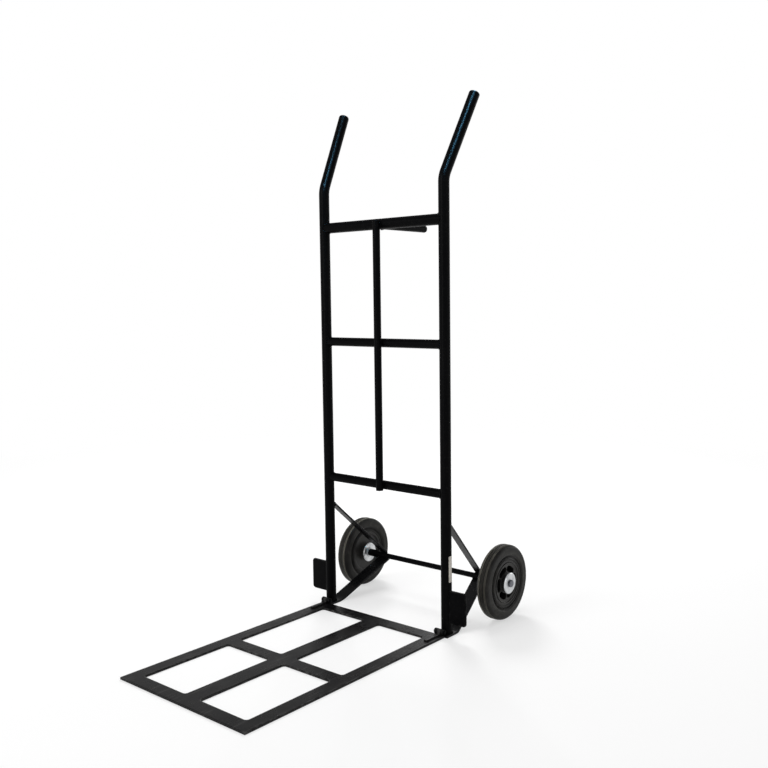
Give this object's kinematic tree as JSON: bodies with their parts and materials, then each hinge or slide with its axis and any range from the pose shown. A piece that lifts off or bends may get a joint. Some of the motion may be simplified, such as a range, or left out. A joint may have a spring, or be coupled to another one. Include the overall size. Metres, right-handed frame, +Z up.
{
  "type": "folding hand truck",
  "caption": "Upright two-wheeled hand truck of black tube with bent-back handles, a long flat toe frame that folds up on hinges, braced axle and solid rubber tyres.",
  "frame": {"origin": "on the floor, in the middle of the width and of the depth from the toe frame's front edge to the back of the tyres", "axes": "+Z up, +Y towards the back where the wheels are, +X to the right as seen from the front"},
  "size_m": [0.5684, 0.997, 1.3991],
  "materials": {
    "frame_paint": "gloss black paint",
    "toe_paint": "gloss black paint, lightly rubbed",
    "tyre_rubber": "matt moulded rubber",
    "wheel_plastic": "satin moulded black",
    "zinc": "bright zinc plate",
    "dark_steel": "dull dark steel",
    "plug_plastic": "satin black",
    "label_film": "blank pale sticker film"
  },
  "bodies": {
    "frame": {"upright_left": "frame_paint", "upright_right": "frame_paint", "handle_plug_left": "plug_plastic", "handle_plug_right": "plug_plastic", "top_crossbar": "frame_paint", "upper_crossbar": "frame_paint", "lower_crossbar": "frame_paint", "centre_tube": "frame_paint", "rest_peg": "frame_paint", "peg_plug": "plug_plastic", "upper_brace_left": "frame_paint", "upper_brace_right": "frame_paint", "lower_brace_left": "frame_paint", "lower_brace_right": "frame_paint", "wheel_guard_left": "frame_paint", "wheel_guard_right": "frame_paint", "hinge_knuckles_left": "frame_paint", "hinge_knuckles_right": "frame_paint", "hinge_pin_left": "frame_paint", "hinge_pin_right": "frame_paint", "axle": "frame_paint", "axle_spacer_left": "frame_paint", "axle_spacer_right": "frame_paint", "inner_washers": "zinc", "axle_caps": "dark_steel"},
    "toe": {"toe_side_bar_left": "toe_paint", "toe_side_bar_right": "toe_paint", "toe_front_bar": "toe_paint", "toe_mid_bar": "toe_paint", "toe_rear_bar": "toe_paint", "toe_centre_bar_front": "toe_paint", "toe_centre_bar_rear": "toe_paint", "toe_hinge_eye_left": "toe_paint", "toe_hinge_eye_right": "toe_paint"},
    "wheel_left": {"tyre_left": "tyre_rubber", "rim_left": "wheel_plastic", "hub_bush_left": "wheel_plastic", "hub_discs_left": "zinc"},
    "wheel_right": {"tyre_right": "tyre_rubber", "rim_right": "wheel_plastic", "hub_bush_right": "wheel_plastic", "hub_discs_right": "zinc"}
  },
  "joints": [
    {"name": "toe_fold", "type": "hinge", "parent": "frame", "child": "toe", "pos_m": [0, 0.1785, 0.0138], "axis": [-1, 0, 0], "range_deg": [0, 90]},
    {"name": "wheel_left_spin", "type": "hinge", "parent": "frame", "child": "wheel_left", "pos_m": [-0.2525, 0.3965, 0.102], "axis": [1, 0, 0], "continuous": true},
    {"name": "wheel_right_spin", "type": "hinge", "parent": "frame", "child": "wheel_right", "pos_m": [0.2525, 0.3965, 0.102], "axis": [1, 0, 0], "continuous": true}
  ]
}
